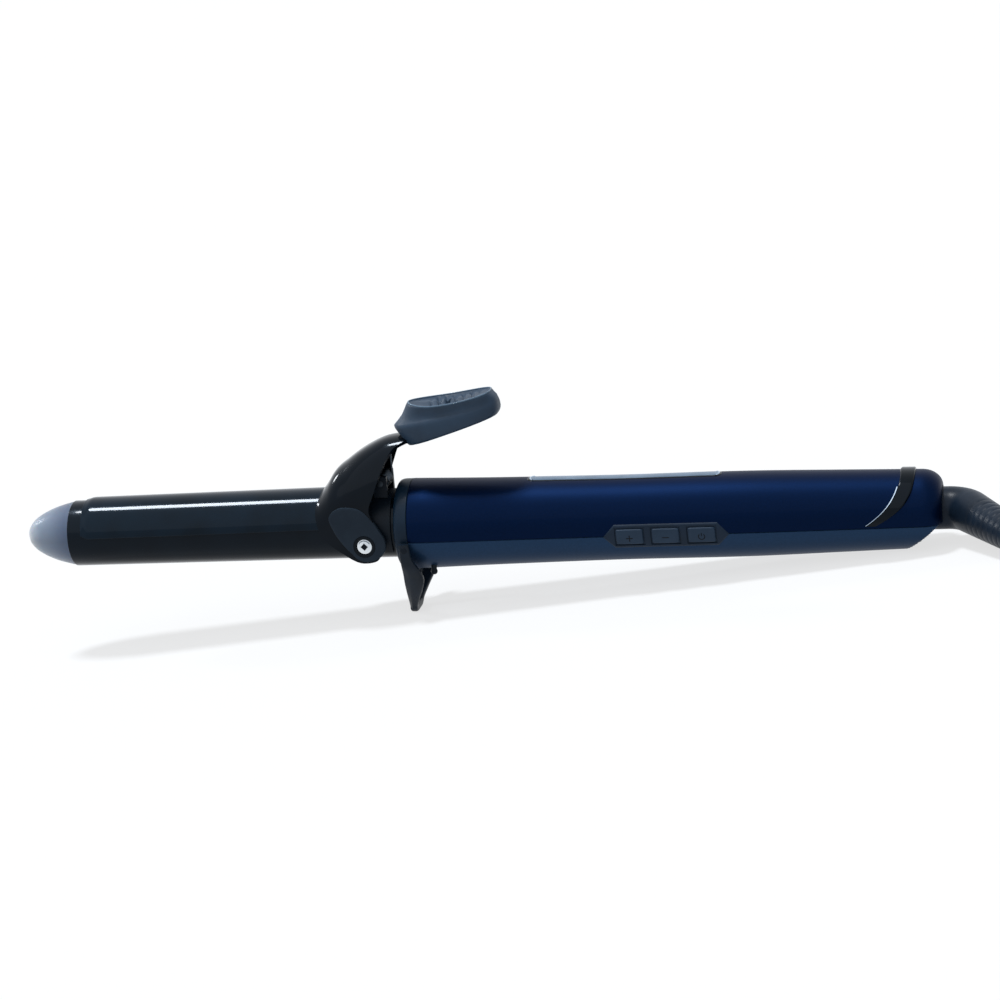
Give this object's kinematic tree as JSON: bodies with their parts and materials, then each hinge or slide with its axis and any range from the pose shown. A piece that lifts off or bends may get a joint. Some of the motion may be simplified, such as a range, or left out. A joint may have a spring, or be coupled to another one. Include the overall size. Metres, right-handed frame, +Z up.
{
  "type": "curling iron",
  "caption": "Electric hair curling iron with spring clamp, thumb lever, fold-down stand, push buttons, display strip and swivel cord.",
  "frame": {"origin": "centre of the stand foot's flat sole, on the surface that the iron rests on", "axes": "+X towards the cord end, along the iron in plan; +Z up; the controls face -Y"},
  "size_m": [0.5529, 0.094, 0.0802],
  "materials": {
    "barrel": "glossy dark ceramic-type coating",
    "cool_tip": "frosted translucent heat-proof plastic",
    "ceramic": "ceramic and mica",
    "aluminium": "extruded",
    "steel": "plain steel",
    "chrome": "bright nickel-plated screw",
    "wire": "silicone sleeving",
    "black_plastic": "satin moulded nylon",
    "black_gloss": "piano-black plastic",
    "blue_paint": "navy metallic lacquer",
    "blue_paint_pale": "navy metallic lacquer",
    "rubber": "matt silicone rubber",
    "pad_rubber": "slate soft-touch rubber",
    "window": "clear acrylic over a silver mask",
    "board": "glass-epoxy board",
    "display": "liquid-crystal display",
    "brass": "nickel-plated brass",
    "cord": "matt PVC"
  },
  "bodies": {
    "iron": {"barrel_tube": "barrel", "tip_disc": "ceramic", "cool_tip": "cool_tip", "heater_plate": "ceramic", "heater_shoe_upper": "aluminium", "heater_shoe_lower": "aluminium", "heater_leads": "wire", "temperature_sensor": "ceramic", "thermal_fuse": "steel", "hinge_block": "black_plastic", "hinge_saddle": "black_plastic", "spring_pin": "steel", "hinge_screws": "chrome", "clamp_spring": "steel", "handle_shell_upper": "blue_paint", "handle_shell_lower": "blue_paint_pale", "shell_screws": "steel", "front_collar": "black_plastic", "trim_band": "black_gloss", "button_panel": "rubber", "display_window": "window", "control_board": "board", "display_module": "display", "terminal_block": "black_plastic", "button_board": "board", "button_switches": "steel", "board_screws": "steel", "stand_pins": "steel", "stand_stops": "rubber", "swivel_socket": "black_plastic", "brush_contacts": "brass", "brush_holder": "black_plastic", "supply_wires": "wire"},
    "clamp": {"clamp_spoon": "barrel", "spoon_rivets": "steel", "clamp_lever": "black_plastic", "thumb_pad": "pad_rubber"},
    "stand": {"stand": "black_plastic"},
    "plus_key": {"button_plus": "rubber"},
    "minus_key": {"button_minus": "rubber"},
    "power_key": {"button_power": "rubber"},
    "cord": {"swivel_core": "black_plastic", "slip_rings": "brass", "cord_boot": "cord", "cord_tube": "cord", "cord_coil": "cord", "cord_tie": "black_plastic", "cord_tail": "cord", "plug_boot": "cord", "plug_body": "cord", "plug_pins": "brass"}
  },
  "joints": [
    {"name": "clamp_hinge", "type": "hinge", "parent": "iron", "child": "clamp", "pos_m": [-0.01123, 0, 0.0308], "axis": [0, 1, 0], "range_deg": [0, 22], "stiffness_Nm_per_rad": 0.35, "springref_deg": -20.05, "deforming": ["clamp_spring"]},
    {"name": "stand_fold", "type": "hinge", "parent": "iron", "child": "stand", "pos_m": [0.00359, 0, 0.02828], "axis": [0, 1, 0], "range_deg": [0, 45]},
    {"name": "cord_swivel", "type": "hinge", "parent": "iron", "child": "cord", "pos_m": [0.18983, 0, 0.01429], "axis": [0.9948, 0, -0.1016], "continuous": true},
    {"name": "plus_press", "type": "slide", "parent": "iron", "child": "plus_key", "axis": [0, 1, 0], "range_m": [0, 0.0008], "stiffness_N_per_m": 800, "springref_m": -0.0004},
    {"name": "minus_press", "type": "slide", "parent": "iron", "child": "minus_key", "axis": [0, 1, 0], "range_m": [0, 0.0008], "stiffness_N_per_m": 800, "springref_m": -0.0004},
    {"name": "power_press", "type": "slide", "parent": "iron", "child": "power_key", "axis": [0, 1, 0], "range_m": [0, 0.0008], "stiffness_N_per_m": 800, "springref_m": -0.0004}
  ]
}
